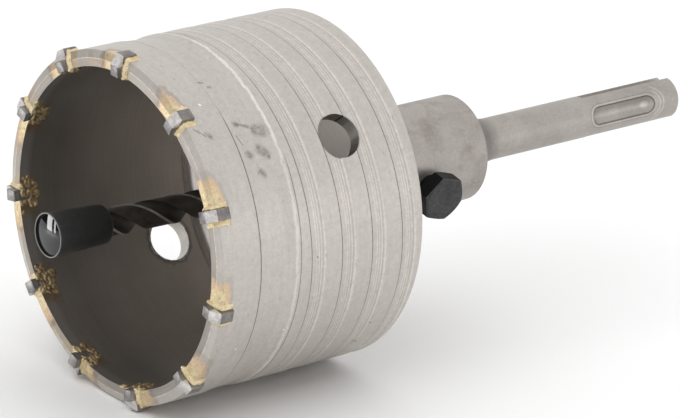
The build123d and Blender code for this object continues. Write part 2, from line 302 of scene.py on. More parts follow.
NEAR_HOLE_TURN, NEAR_HOLE_BEHIND = -124.0, 37.3
FAR_HOLE_TURN, FAR_HOLE_BEHIND = 59.3, 38.0
SIDE_HOLE_RADIUS = 5.1
TONGUE_SQUARENESS = 3.5
TONGUE_REACH = 9.0, 15.0
TONGUE_SHORT_REACH = 3.4
TONGUE_DEPTH = 2.3, 3.4
SPIRAL_PITCH = 8.4
SPIRAL_AT_ZERO = 1.267
SPIRAL_START = 20.6
SPIRAL_TOOL_MARKS = (1.5, 2.15, 2.85)
SPIRAL_FAINT_MARKS = (2.5, 0.04, 0.12), (3.22, 0.05, 0.14)
SPIRAL_SLOPE_AT = 3.70
# The next two are where shade is painted along the recess's front edge and a highlight along its rear edge.
RECESS_FRONT = 10.62
RECESS_REAR_EDGE = 20.55
RUBBED_MARKS = (
    (-135.4, 12.6, -135.0, 13.3, 0.5, 0.6),
    (-135.0, 13.5, -134.0, 15.5, 0.2, 0.5),
    (-131.9, 17.3, -131.5, 18.7, 1.6, 1.2),
    (-125.6, 16.0, -125.2, 16.5, 0.9, 1.1),
    (-124.8, 17.2, -123.6, 17.6, 0.5, 0.9),
    (-124.9, 12.8, -124.2, 13.2, 0.6, 0.8),
    (-118.3, 14.6, -117.7, 15.1, 0.5, 0.9),
    (-133.6, 4.8, -132.8, 5.4, 0.4, 0.8),
    (-150.4, 12.2, -150.2, 12.9, 0.3, 0.5),
    (-153.5, 10.4, -153.1, 11.2, 0.3, 0.5),
)
SCRATCHES = (
    (-136.6, 2.1, -134.6, 3.0, 0.10, 0.08),
    (-136.0, 2.8, -133.2, 4.1, 0.10, 0.08),
    (-131.5, 11.6, -127.8, 12.4, 0.12, 0.08),
    (-44.2, 45.2, -43.9, 46.4, 0.22, 0.08),
    (-55.0, 46.2, -54.7, 46.5, 0.25, 0.08),
    (-88.0, 26.0, -87.6, 26.2, 0.20, 0.08),
)
BRIGHT_SPECKS = (
    (-144.7, 6.9, -144.3, 7.1, 0.30, 0.08),
    (-63.1, 19.9, -62.9, 20.1, 0.20, 0.08),
    (-60.1, 7.4, -59.9, 7.6, 0.20, 0.08),
)


def marks_mask(f, marks, warp):
    """All of one kind of mark on the cup's side."""
    behind, turn, _ = f.tool()
    mm_per_degree = DEGREE * CUP_RADIUS / MM
    across, along = f.line(turn, mm_per_degree, warp), f.add(behind, warp)
    return f.most(*(f.stroke(across, along, (t0 * mm_per_degree, x0), (t1 * mm_per_degree, x1), width, blur)
                    for t0, x0, t1, x1, width, blur in marks))


def from_tip(f, turn):
    """Degrees from the nearest tip, negative on its side towards smaller angles."""
    whole = f.math("FLOORED_MODULO", f.add(turn, TIP_STEP / 2 - FIRST_TIP), TIP_STEP)
    return f.sub(whole, TIP_STEP / 2)


def wash_masks(f, behind, turn):
    """Thin film of braze that ran from each tip along the edge, its burnt outline and its far end.

    The reach is in degrees on either side of the tip, and the depth in mm behind the rim.
    """
    side = from_tip(f, turn)
    ragged = f.line(f.noise(500.0, 4.0, 0.65), 0.6, -0.3)
    reach = f.ramp(f.noise(45.0, 1.0, 0.5), 0.3, 0.7, *TONGUE_REACH)
    depth = f.ramp(f.noise(60.0, 1.0, 0.5, shift=(4, 0, 1)), 0.3, 0.7, *TONGUE_DEPTH)
    one_side = f.math("DIVIDE", f.sub(-0.5, side), reach)
    other_side = f.math("DIVIDE", side, TONGUE_SHORT_REACH)
    across = f.most(one_side, other_side)
    along = f.math("DIVIDE", f.math("MAXIMUM", behind, 0.0), depth)
    square_tongue = f.add(f.math("POWER", f.math("MAXIMUM", across, 0.0), TONGUE_SQUARENESS),
                          f.math("POWER", along, TONGUE_SQUARENESS))
    oval = f.add(f.math("POWER", square_tongue, 1 / TONGUE_SQUARENESS), ragged)
    return f.ramp(oval, 1.0, 0.80), f.near(oval, 1.03, 0.05, 0.12), f.ramp(oval, 0.45, 0.95)


def spiral_colours(f, colour, behind, turn):
    """Front edge painted dark as shade, tool marks on the floor and a beaded rear slope painted bright as a
    highlight, and the mask of the marks.
    """
    cut = f.ramp(behind, SPIRAL_START, SPIRAL_START + 0.2)
    advance = f.line(turn, -SPIRAL_PITCH / 360.0, f.sub(behind, SPIRAL_AT_ZERO))
    u = f.math("FLOORED_MODULO", advance, SPIRAL_PITCH)
    broken = f.noise(1500.0, 2.0, 0.7)
    # Painted shade along the groove's front edge.
    front = f.most(f.ramp(u, 0.36, 0.16), f.ramp(u, SPIRAL_PITCH - 0.16, SPIRAL_PITCH - 0.04))
    marks = f.most(*(f.near(u, at, 0.04, 0.12) for at in SPIRAL_TOOL_MARKS))
    marks = f.product(marks, cut, f.ramp(broken, 0.35, 0.6, 0.15, 1.0))
    # Painted highlight along the groove's rear slope.
    slope = f.mul(f.near(u, SPIRAL_SLOPE_AT, 0.12, 0.2), f.ramp(broken, 0.3, 0.55, 0.45, 1.0))
    colour = f.tint(colour, f.product(cut, front, f.ramp(broken, 0.3, 0.6, 0.75, 1.0)), 0.17)
    colour = f.tint(colour, marks, 1.28)
    beside = f.most(*(f.near(u, *mark) for mark in SPIRAL_FAINT_MARKS))
    colour = f.tint(colour, f.product(cut, beside, f.ramp(broken, 0.35, 0.6, 0.3, 1.0)), 0.86)
    return f.tint(colour, f.mul(cut, slope), 1.24), marks


def bore_colour(f, behind, turn, radius, fine, cloud, crust):
    """Warm wall inside, painted dark as the shade in the bore and painted lighter towards the back and on the
    back plate's face as light, with a brighter turned lip and heat stain by each tip.
    """
    inside = f.vary(SHADED_BORE_STEEL, fine, 1.10)
    inside = f.vary(inside, cloud, 1.15)
    wall = f.ramp(radius, BORE_WALL - 0.3, BORE_WALL)
    # Painted light: lighter towards the back of the bore, and lighter again on the back plate's face.
    inside = f.tint(inside, f.mul(f.ramp(behind, 10.0, 44.0), wall), 2.6)
    inside = f.tint(inside, f.ramp(radius, BORE_WALL - 0.1, BORE_WALL - 0.4), 1.3)
    lip = f.ramp(f.line(cloud, 0.8, behind), 3.6, 2.2)
    inside = f.mix(f.mul(lip, 0.55), inside, grey(0.42, 0.04))
    near_tip = f.math("ABSOLUTE", f.add(from_tip(f, turn), 1.5))
    heat = f.math("MINIMUM", f.ramp(f.line(crust, 5.0, near_tip), 10.5, 6.5),
                  f.ramp(f.line(crust, 3.0, behind), 6.6, 4.4))
    return f.mix(f.mul(heat, 0.75), inside, f.mix(crust, *HEAT_STAIN))


def chipped_edge_painted_light(f, colour, radius, crust):
    """Chipped edge that the drill left inside the far side hole, painted bright as a highlight, with a
    painted shadow round it.
    """
    frame_here = round_frame(FAR_HOLE_TURN, RIM + FAR_HOLE_BEHIND * MM)
    offset = f.vector("SUBTRACT", f.coords, frame_here.translation)
    across = f.dot(offset, frame_here.col[1].xyz)
    along = f.dot(offset, frame_here.col[2].xyz)
    outward = f.dot(offset, frame_here.col[0].xyz)
    distance = f.mul(f.span(across, along), 1 / MM)
    chips = f.line(f.noise(420.0, 3.0, 0.6), 2.4, -1.2)
    here = f.mul(f.ramp(outward, 0.0, 10 * MM), f.ramp(radius, BORE_WALL + 0.3, BORE_WALL + 0.1))
    here = f.math("GREATER_THAN", here, 0.5)
    # Painted highlight along the chipped edge, and painted shadow in a wider ring round it.
    bright = f.mul(f.ramp(f.add(distance, chips), SIDE_HOLE_RADIUS + 0.42, SIDE_HOLE_RADIUS + 0.26), here)
    dark = f.mul(f.ramp(f.add(distance, chips), SIDE_HOLE_RADIUS + 1.3, SIDE_HOLE_RADIUS + 0.5), here)
    colour = f.mix(f.mul(dark, 0.5), colour, HOLE_SHADOW_BLACK)
    return f.mix(bright, colour, f.mix(f.ramp(crust, 0.35, 0.65), grey(0.35), grey(0.9)))


def cup_finish():
    f = Finish("turned_cup_steel")
    behind, turn, radius = f.tool()
    fine = f.turning_lines(9.0, 2.6)
    broad = f.turning_lines(0.9, 1.1, 2.0, 0.5, 7.0)
    grain = f.noise(2600.0, 2.0, 0.6)
    cloud = f.noise(28.0, 3.0, 0.55)
    crust = f.noise(900.0, 4.0, 0.65)
    colour = f.vary(STEEL, fine, 1.045)
    colour = f.vary(colour, broad, 1.03)
    colour = f.vary(colour, grain, 1.05)
    colour = f.vary(colour, f.noise(700.0, 4.0, 0.7), 1.07)
    colour = f.vary(colour, cloud, 1.04)
    pores = f.ramp(f.noise(1100.0, 3.0, 0.6, stretch=(1.0, 0.45, 0.45), shift=(2, 7, 3)), 0.645, 0.70)
    colour = f.tint(colour, pores, 0.84)
    bore = f.math("MINIMUM", f.ramp(radius, BORE_WALL + 0.2, BORE_WALL + 0.05),
                  f.ramp(behind, BORE_FOOT + 0.5, BORE_FOOT))
    skin = f.sub(1.0, bore)
    outer = f.ramp(radius, RIM_EDGE - 0.1, RIM_EDGE + 0.1)
    rim = f.math("MINIMUM", f.ramp(behind, 0.3, 0.2), skin)
    rim = f.mul(rim, f.ramp(radius, RIM_EDGE + 0.14, RIM_EDGE + 0.02))

    colour, tool_marks = spiral_colours(f, colour, behind, turn)
    ragged = f.line(f.noise(330.0, 4.0, 0.75), 1.6, -0.8)
    # Painted shade along the recess's front edge, a painted highlight along its rear edge and a painted
    # shadow line just behind it.
    recess_front_shade = f.mul(f.near(f.add(behind, f.mul(ragged, 0.08)), RECESS_FRONT, 0.09, 0.15), outer)
    colour = f.tint(colour, f.mul(recess_front_shade, f.ramp(turn, -143.0, -135.0, 0.25, 1.0)), 0.30)
    rear_edge_highlight = f.mul(f.near(f.add(behind, f.mul(ragged, 0.9)), RECESS_REAR_EDGE, 0.22, 0.30), outer)
    colour = f.tint(colour, f.mul(rear_edge_highlight, f.ramp(turn, -118.0, -130.0, 0.5, 1.0)), 1.38)
    shadow_line = f.mul(f.near(behind, RECESS_REAR_EDGE + 0.95, 0.05, 0.12), outer)
    colour = f.tint(colour, f.mul(shadow_line, f.ramp(turn, -123.0, -118.0)), 0.45)

    warp = f.line(f.noise(300.0, 3.0, 0.6), 3.2, -1.6)
    patchy = f.ramp(f.noise(800.0, 4.0, 0.7), 0.35, 0.6, 0.25, 1.0)
    rubbed = f.product(marks_mask(f, RUBBED_MARKS, warp), outer, patchy)
    colour = f.tint(colour, rubbed, 0.50)
    colour = f.tint(colour, f.mul(marks_mask(f, SCRATCHES, 0.0), outer), 0.40)
    colour = f.mix(f.mul(marks_mask(f, BRIGHT_SPECKS, 0.0), outer), colour, grey(0.94))

    ground = f.vary(RIM_STEEL, f.turning_lines(18.0, 5.0, 3.0, 0.7), 1.35)
    colour = f.mix(rim, colour, ground)
    # Painted highlight along the edge between the rim's flat and its bevel.
    rim_edge_highlight = f.mul(f.near(radius, RIM_EDGE, 0.06, 0.12), f.ramp(crust, 0.35, 0.6, 0.3, 1.0))
    colour = f.tint(colour, f.mul(rim, rim_edge_highlight), 2.2)
    colour = f.tint(colour, f.mul(rim, f.ramp(radius, BORE_WALL + 0.32, BORE_WALL + 0.12)), 0.6)
    film = f.mul(f.ramp(f.noise(170.0, 3.0, 0.6, shift=(6, 1, 4)), 0.42, 0.56), f.ramp(behind, 1.4, 0.9))
    film = f.product(film, skin, f.ramp(f.math("ABSOLUTE", f.sub(turn, FILM_TURN)), 90.0, 70.0))
    colour = f.mix(f.mul(film, 0.55), colour, f.mix(crust, *BURNT_FILM))

    wash, outline, far_end = wash_masks(f, behind, turn)
    wash = f.mul(wash, skin)
    braze = f.mix(f.ramp(crust, 0.36, 0.62), STRAW, CREAM)
    braze = f.mix(f.mul(far_end, f.ramp(crust, 0.2, 0.7, 0.35, 0.9)), braze, FLUSH_ORANGE)
    braze = f.tint(braze, f.ramp(f.noise(1800.0, 2.0, 0.5, shift=(3, 1, 2)), 0.60, 0.72), 0.55)
    colour = f.mix(f.product(outline, skin, f.ramp(cloud, 0.35, 0.65, 0.05, 0.5)), colour, BURNT_BROWN)
    colour = f.mix(f.mul(wash, f.ramp(crust, 0.3, 0.5, 0.62, 0.95)), colour, braze)
    colour = f.mix(bore, colour, bore_colour(f, behind, turn, radius, fine, cloud, crust))
    colour = chipped_edge_painted_light(f, colour, radius, crust)
    # Painted shade on the wall of the near side hole.
    aside = f.mul(f.mul(f.sub(turn, NEAR_HOLE_TURN), DEGREE), radius)
    beyond = f.sub(behind, NEAR_HOLE_BEHIND)
    from_hole = f.span(aside, beyond)
    hole_wall_shade = f.mul(f.ramp(from_hole, SIDE_HOLE_RADIUS + 0.35, SIDE_HOLE_RADIUS + 0.05),
                    f.ramp(radius, CUP_SKIN - 0.02, CUP_SKIN - 0.10))
    colour = f.tint(colour, hole_wall_shade, 0.40)

    height = f.line(fine, 0.7, f.line(grain, 0.3, f.mul(tool_marks, 0.6)))
    height = f.add(height, f.mul(wash, f.ramp(crust, 0.2, 0.8, 1.5, 3.5)))
    rough = f.line(bore, -0.06, f.ramp(fine, 0.2, 0.8, 0.40, 0.52))
    f.set(Base_Color=colour, Metallic=0.86, Roughness=rough,
          Normal=f.bump(height, 0.02 * MM, 0.6))
    return f


def corner_finish():
    """Freshly bored steel at the foot of the bore."""
    f = Finish("bored_corner_steel")
    fine = f.turning_lines(9.0, 2.6)
    colour = f.vary(CORNER_STEEL, fine, 1.08)
    f.set(Base_Color=colour, Metallic=0.95, Roughness=f.ramp(fine, 0.2, 0.8, 0.20, 0.30))
    return f


# Arbor finish. Radii and widths are in mm, and places along the shank are in mm from the collar's
# shoulder. The chuck's ball left rings round BALL_REST, at the radii in CHUCK_MARKS.

ARBOR_STEEL = (0.402, 0.372, 0.346, 1)
ARBOR_STAIN = (0.20, 0.165, 0.125, 1)
GROOVE_TURN = -101.0
GROOVE_FROM, GROOVE_TO = 39.1, 58.9
GROOVE_HALF_WIDTH = 2.28
SHOULDER = -RIM / MM
SHANK_RADIUS = 5.0
BALL_REST = GROOVE_TO - 1.9
# A highlight is painted on the groove's floor round the next place.
HIGHLIGHT_SPOT = GROOVE_TO - 2.6
CHUCK_MARKS = (2.75, 3.65, 4.75)


def arbor_finish():
    f = Finish("satin_arbor_steel")
    behind, turn, radius = f.tool()
    along = f.sub(behind, SHOULDER)
    fine = f.turning_lines(7.0, 2.0)
    grain = f.noise(1900.0, 3.0, 0.65)
    cloud = f.noise(90.0, 3.0, 0.6)
    colour = f.vary(ARBOR_STEEL, fine, 1.04)
    colour = f.vary(colour, grain, 1.10)
    colour = f.vary(colour, cloud, 1.09)
    stain = f.ramp(f.noise(150.0, 4.0, 0.65, shift=(5, 2, 8)), 0.5, 0.72)
    stain = f.mul(stain, f.ramp(radius, 8.0, 12.0, 0.35, 1.0))
    colour = f.mix(f.mul(stain, 0.55), colour, ARBOR_STAIN)
    # Painted shade: darker in a band at the collar's shoulder and along the root of the shank beside it.
    colour = f.tint(colour, f.near(along, 0.1, 0.1, 0.7), 0.72)
    root = f.product(f.ramp(along, 10.5, 6.3), f.ramp(along, 0.1, 0.3), f.ramp(radius, 9.9, 9.6))
    colour = f.tint(colour, root, 0.55)

    half_turn = f.sub(f.math("FLOORED_MODULO", f.sub(turn, GROOVE_TURN - 90.0), 180.0), 90.0)
    arc = f.mul(half_turn, DEGREE * SHANK_RADIUS)
    front, rear = GROOVE_FROM + GROOVE_HALF_WIDTH, GROOVE_TO - GROOVE_HALF_WIDTH
    run = f.sub(along, f.math("MINIMUM", f.math("MAXIMUM", along, front), rear))
    distance = f.span(run, arc)
    on_shank = f.ramp(radius, SHANK_RADIUS + 0.2, SHANK_RADIUS + 0.1)
    on_skin = f.mul(f.ramp(radius, SHANK_RADIUS - 0.10, SHANK_RADIUS - 0.04), on_shank)
    # Painted highlight on the lip round the groove; a line just outside it and the brink inside are painted
    # darker as shade.
    edge = f.mul(f.near(distance, GROOVE_HALF_WIDTH + 0.28, 0.14, 0.22), on_skin)
    outline = f.mul(f.near(distance, GROOVE_HALF_WIDTH + 0.72, 0.05, 0.16), on_skin)
    colour = f.tint(colour, edge, 1.26)
    brink_shade = f.near(distance, GROOVE_HALF_WIDTH - 0.02, 0.06, 0.16)
    under_brink = f.ramp(radius, SHANK_RADIUS - 0.8, SHANK_RADIUS - 0.6)
    colour = f.tint(colour, f.product(brink_shade, under_brink, on_shank), 0.60)
    highlight_spot_distance = f.span(f.sub(along, HIGHLIGHT_SPOT), arc)
    colour = f.tint(colour, outline, 0.80)
    sunk = f.ramp(radius, SHANK_RADIUS - 0.04, SHANK_RADIUS - 0.10)
    high = f.ramp(radius, SHANK_RADIUS - 0.38, SHANK_RADIUS - 0.20)
    on_floor = f.product(sunk, f.ramp(distance, 2.6, 2.4), f.ramp(along, GROOVE_FROM, GROOVE_FROM + 0.5))
    # Key slot floors painted lighter; on the groove's floor a painted highlight along its crease and at its
    # rear end, and painted shade on one side and where it rises to the wall.
    colour = f.tint(colour, f.mul(sunk, f.ramp(distance, 2.5, 2.7)), 1.25)
    colour = f.tint(colour, f.mul(on_floor, f.near(arc, 0.25, 0.15, 0.5)), 1.14)
    colour = f.tint(colour, f.mul(on_floor, f.ramp(highlight_spot_distance, 1.5, 0.6)), 1.40)
    colour = f.tint(colour, f.mul(on_floor, f.ramp(arc, -0.5, -1.3)), 0.80)
    colour = f.tint(colour, f.mul(on_floor, high), 0.66)
    past = f.sub(along, BALL_REST)
    ring = f.span(past, arc)
    chuck = f.most(*(f.near(ring, at, 0.12, 0.14) for at in CHUCK_MARKS))
    chuck = f.product(chuck, f.ramp(past, 1.6, 2.2), on_skin)
    colour = f.tint(colour, chuck, 1.35)
    height = f.line(f.most(edge, chuck), -1.2, f.mul(f.add(fine, grain), 0.5))
    f.set(Base_Color=colour, Metallic=0.82, Roughness=f.ramp(grain, 0.2, 0.8, 0.42, 0.54),
          Normal=f.bump(height, 0.03 * MM, 0.6))
    return f


# Finishes of the smaller pieces

SINTERED = (0.165, 0.150, 0.150, 1), (0.260, 0.240, 0.225, 1)
# The two ground bevels are one finish, painted light outside and dark inside as lit and shaded copies.
LIT_GROUND_OUTSIDE = (0.50, 0.48, 0.47, 1), (0.74, 0.71, 0.70, 1)
SHADED_GROUND_INSIDE = (0.20, 0.188, 0.182, 1), (0.34, 0.325, 0.315, 1)
SCALE = (0.09, 0.052, 0.028, 1), (0.44, 0.32, 0.165, 1)


def carbide_finish():
    f = Finish("sintered_carbide")
    grain = f.noise(2400.0, 3.0, 0.6)
    ground = f.noise(1500.0, 2.0, 0.6, stretch=(1.0, 0.2, 0.2))
    behind, _, radius = f.tool()
    patch = f.ramp(f.noise(420.0, 3.0, 0.65), 0.35, 0.65)
    on_bevel = f.ramp(behind, -0.22, -0.34)
    ridge = TIP_RIDGE[0] / MM
    inner = f.ramp(radius, ridge + 0.15, ridge)
    # Painted light and shade: the outer bevel lighter and the inner bevel darker.
    bevel = f.mix(inner, f.mix(patch, *LIT_GROUND_OUTSIDE), f.mix(patch, *SHADED_GROUND_INSIDE))
    colour = f.mix(on_bevel, f.mix(patch, *SINTERED), bevel)
    colour = f.vary(colour, grain, 1.16)
    f.set(Base_Color=colour, Metallic=0.75, Roughness=f.ramp(ground, 0.3, 0.7, 0.30, 0.44),
          Normal=f.bump(f.add(grain, ground), 0.02 * MM, 0.5))
    return f


def braze_finish():
    f = Finish("braze_metal")
    behind, _, radius = f.tool()
    crust = f.noise(800.0, 4.0, 0.65)
    fine = f.noise(2200.0, 3.0, 0.6)
    colour = f.mix(f.ramp(crust, 0.35, 0.62), STRAW, CREAM)
    flush = f.ramp(f.noise(350.0, 3.0, 0.6, shift=(1, 5, 2)), 0.55, 0.75, 0.0, 0.6)
    colour = f.mix(flush, colour, FLUSH_ORANGE)
    colour = f.tint(colour, f.ramp(fine, 0.60, 0.72), 0.40)
    deep = f.ramp(radius, BORE_WALL + 0.35, BORE_WALL - 0.05)
    scale = f.mix(f.ramp(crust, 0.36, 0.62), *SCALE)
    colour = f.mix(f.mul(deep, f.ramp(behind, -0.2, 0.8, 0.0, 0.92)), colour, scale)
    f.set(Base_Color=colour, Metallic=0.55, Roughness=f.ramp(crust, 0.2, 0.8, 0.26, 0.46),
          Normal=f.bump(f.add(crust, fine), 0.08 * MM, 0.6))
    return f


# How far from the tool's axis the bolt head's outer face and the foot of its chamfer are.
BOLT_TURN = -75.0
BOLT_TOP = 18.65 * MM
BOLT_CORNER = BOLT_TOP - 0.40 * MM


def bolt_finish():
    f = Finish("black_bolt")
    grain = f.noise(1400.0, 3.0, 0.65)
    out = f.dot(f.coords, round_frame(BOLT_TURN, 0).col[0].xyz)
    lit_top_face = f.ramp(out, BOLT_CORNER - 0.02 * MM, BOLT_CORNER + 0.04 * MM)
    corner = f.near(out, BOLT_CORNER, 0.03 * MM, 0.08 * MM)
    # Painted light and shade: the sides darker than the outer face, and a highlight along the chamfer's foot.
    colour = f.mix(lit_top_face, grey(0.004), grey(0.060))
    colour = f.mix(f.mul(corner, 0.5), colour, grey(0.16))
    colour = f.vary(colour, grain, 1.35)
    colour = f.vary(colour, f.noise(260.0, 2.0, 0.5), 1.15)
    f.set(Base_Color=colour, Metallic=0.2, Roughness=f.ramp(grain, 0.2, 0.8, 0.30, 0.50),
          Specular_IOR_Level=0.12, Normal=f.bump(grain, 0.04 * MM, 0.6))
    return f


OXIDE = (0.050, 0.046, 0.042, 1), (0.092, 0.080, 0.068, 1)
WORN_MARGIN = (0.40, 0.385, 0.36, 1)
DRILL_LEAN = 1.4
DRILL_RADIUS = 3.25 * MM
CAP_FRONT_RADIUS = 5.05 * MM
CAP_REAR_RADIUS = 4.45 * MM
CAP_LENGTH = 14.9 * MM
CAP_FRONT = 0.05 * MM
CAP_DOME = 0.50 * MM
CAP_DOME_RADIUS = 4.72 * MM
CAP_LIP = 0.16 * MM
CAP_LIP_RADIUS = CAP_FRONT_RADIUS - CAP_LIP


def drill_direction():
    """Unit vector back along the drill, which leans in its bore."""
    lean = math.radians(DRILL_LEAN)
    return Matrix.Rotation(math.radians(ROLL), 3, "X") @ Vector((math.cos(lean), 0, -math.sin(lean)))


def cap_frame():
    """Local x runs back along the cap from the middle of its front."""
    low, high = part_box("tip_cap")
    front = Vector((low.x + CAP_FRONT_RADIUS * math.sin(math.radians(DRILL_LEAN)), (low.y + high.y) / 2,
                    (low.z + high.z) / 2))
    return Matrix.Translation(front) @ drill_direction().to_track_quat("X", "Z").to_matrix().to_4x4()


def drill_finish():
    f = Finish("black_oxide")
    low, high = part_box("pilot_drill")
    direction = drill_direction()
    offset = f.vector("SUBTRACT", f.coords, (low + high) / 2)
    along = f.dot(offset, direction)
    radius = f.distance(offset, f.scaled(direction, along))
    margin = f.ramp(radius, DRILL_RADIUS - 0.09 * MM, DRILL_RADIUS - 0.04 * MM)
    scuff = f.noise(900.0, 4.0, 0.7)
    colour = f.mix(f.ramp(f.noise(240.0, 3.0, 0.6), 0.3, 0.7), *OXIDE)
    colour = f.mix(f.mul(margin, f.ramp(scuff, 0.3, 0.6, 0.5, 1.0)), colour, WORN_MARGIN)
    colour = f.mix(f.ramp(scuff, 0.66, 0.74, 0.0, 0.6), colour, grey(0.30))
    f.set(Base_Color=colour, Metallic=0.6, Roughness=f.ramp(scuff, 0.2, 0.8, 0.30, 0.46),
          Normal=f.bump(scuff, 0.02 * MM, 0.5))
    return f


def cap_finish():
    f = Finish("black_moulding")
    place = cap_frame()
    offset = f.vector("SUBTRACT", f.coords, place.translation)
    along, over, beside = (f.dot(offset, place.col[k].xyz) for k in range(3))
    from_axis = f.span(over, beside)
    edge = CAP_LIP_RADIUS - CAP_LIP / 2
    polished = f.mul(f.ramp(from_axis, edge + 0.04 * MM, edge - 0.04 * MM), f.ramp(along, 1.0 * MM, 0.8 * MM))
    grain = f.noise(1300.0, 3.0, 0.6)
    smear = f.noise(300.0, 4.0, 0.6)
    colour = f.vary(grey(0.013), grain, 1.3)
    colour = f.mix(f.ramp(smear, 0.58, 0.78, 0.0, 0.35), colour, grey(0.08))
    colour = f.mix(polished, colour, grey(0.008))
    # The lip is painted light grey, as wear and as a painted highlight.
    worn_lip_highlight = f.mul(f.near(from_axis, CAP_LIP_RADIUS, 0.06 * MM, 0.12 * MM), f.ramp(along, 0.4 * MM, 0.25 * MM))
    colour = f.mix(f.mul(worn_lip_highlight, 0.6), colour, grey(0.45))
    rough = f.math("MINIMUM", f.ramp(smear, 0.3, 0.7, 0.36, 0.52), f.ramp(polished, 1.0, 0.0, 0.035, 0.6))
    f.set(Base_Color=colour, Roughness=rough,
          Normal=f.bump(f.mul(grain, f.sub(1.0, polished)), 0.02 * MM, 0.5))
    return f


def dress(name, finish):
    node = nodes[name]
    node.data.materials.clear()
    node.data.materials.append(finish.material)


# Pieces made as meshes

def add_object(name, data):
    made = bpy.data.objects.new(name, data)
    bpy.context.scene.collection.objects.link(made)
    return made


def mesh_object(name, bm):
    """An object with the bmesh as its mesh. The bmesh is used up."""
    mesh = bpy.data.meshes.new(name)
    bm.to_mesh(mesh)
    bm.free()
    return add_object(name, mesh)


def make_piece(name, bm, finish, smooth_angle, replaced=None):
    """A mesh object from a bmesh, smooth over gentle edges, which may stand for a CAD node."""
    bmesh.ops.recalc_face_normals(bm, faces=bm.faces)
    limit = math.radians(smooth_angle)
    for face in bm.faces:
        face.smooth = True
    for edge in bm.edges:
        edge.smooth = edge.is_manifold and edge.calc_face_angle(0.0) < limit
    piece = mesh_object(name, bm)
    piece.data.materials.append(finish.material)
    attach(piece, "root")
    if replaced:
        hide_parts(replaced)


def prism(bm, profile, half_width):
    """Closed prism of (out, back) points, as wide as twice half_width round the axis."""
    face = bm.faces.new([bm.verts.new((out, -half_width, back)) for out, back in profile])
    grown = bmesh.ops.extrude_face_region(bm, geom=[face], use_keep_orig=True)
    moved = [g for g in grown["geom"] if isinstance(g, bmesh.types.BMVert)]
    bmesh.ops.translate(bm, verts=moved, vec=(0, 2 * half_width, 0))


def turned(bm, profile, steps, closed):
    """Surface of (along, radius) points turned round the local x axis."""
    verts = [bm.verts.new((x, r, 0)) for x, r in profile]
    edges = [bm.edges.new(pair) for pair in zip(verts, verts[1:])]
    if closed:
        edges.append(bm.edges.new((verts[-1], verts[0])))
    bmesh.ops.spin(bm, geom=verts + edges, cent=(0, 0, 0), axis=(1, 0, 0), dvec=(0, 0, 0),
                   angle=2 * math.pi, steps=steps, use_merge=True, use_duplicate=False)
    bmesh.ops.remove_doubles(bm, verts=bm.verts, dist=0.001 * MM)


def quarter(centre, radius, start, steps=8):
    """Quarter circle of (along, radius) points that starts at an angle in degrees."""
    turns = [math.radians(start + 90.0 * k / steps) for k in range(steps + 1)]
    return [(centre[0] + radius * math.cos(t), centre[1] + radius * math.sin(t)) for t in turns]


CAP_REAR_EDGE = 1.0 * MM
CAP_HOLLOW_FROM = 2.8 * MM
CAP_HOLLOW_RADIUS = DRILL_RADIUS + 0.02 * MM
DOME_STEPS = 12
CAP_STEPS = 72


def make_cap(finish):
    """Moulded cap with a shallow polished dome on its front, inside a rounded lip."""
    dome = [(CAP_FRONT + CAP_DOME * (k / DOME_STEPS) ** 2, CAP_DOME_RADIUS * k / DOME_STEPS)
            for k in range(DOME_STEPS + 1)]
    crest = (CAP_FRONT + CAP_LIP, CAP_LIP_RADIUS)
    lip = quarter(crest, CAP_LIP, 180.0)[::-1] + quarter(crest, CAP_LIP, 90.0)[::-1][1:]
    rear = quarter((CAP_LENGTH - CAP_REAR_EDGE, CAP_REAR_RADIUS - CAP_REAR_EDGE), CAP_REAR_EDGE, 0.0)[::-1]
    inside = [(CAP_LENGTH, CAP_HOLLOW_RADIUS), (CAP_HOLLOW_FROM, CAP_HOLLOW_RADIUS), (CAP_HOLLOW_FROM, 0)]
    bm = bmesh.new()
    turned(bm, dome + lip + rear + inside, CAP_STEPS, closed=False)
    bmesh.ops.transform(bm, matrix=cap_frame(), verts=bm.verts)
    make_piece("rubber_cap", bm, finish, 40.0, "tip_cap")


ROOT_RADIUS = 14.0 * MM
ROOT_END = 10.4 * MM
ROOT_STEPS = 16
ROOT_ROUND_STEPS = 72
ROOT_SUNK = 0.1 * MM
ROOT_INTO_COLLAR = 0.2 * MM


def make_shank_root(finish):
    """Long concave flare where the shank leaves the collar."""
    skin = SHANK_RADIUS * MM
    flare = []
    for k in range(ROOT_STEPS + 1):
        x = ROOT_END * k / ROOT_STEPS
        flare.append((x, skin + ROOT_RADIUS - math.sqrt(ROOT_RADIUS ** 2 - (ROOT_END - x) ** 2)))
    under, start = skin - ROOT_SUNK, (-ROOT_INTO_COLLAR, flare[0][1])
    bm = bmesh.new()
    turned(bm, [start] + flare + [(ROOT_END, under), (start[0], under)], ROOT_ROUND_STEPS,
           closed=True)
    make_piece("shank_root", bm, finish, 30.0)


CORNER_RADIUS = 3.8 * MM
CORNER_SUNK = 0.05 * MM
CORNER_STEPS = 96


def make_bore_corner(finish):
    """Rounded corner, left by the boring tool between the bore and the back plate."""
    face, edge, rise = RIM + END_PLATE, RIM + END_PLATE - CORNER_RADIUS, BORE - CORNER_RADIUS
    wall_under, face_under = BORE + CORNER_SUNK, face + CORNER_SUNK
    arc = quarter((edge, rise), CORNER_RADIUS, 0.0)
    behind = [(edge, wall_under), (face_under, wall_under), (face_under, rise)]
    bm = bmesh.new()
    turned(bm, arc + behind, CORNER_STEPS, closed=True)
    make_piece("bore_corner", bm, finish, 30.0)


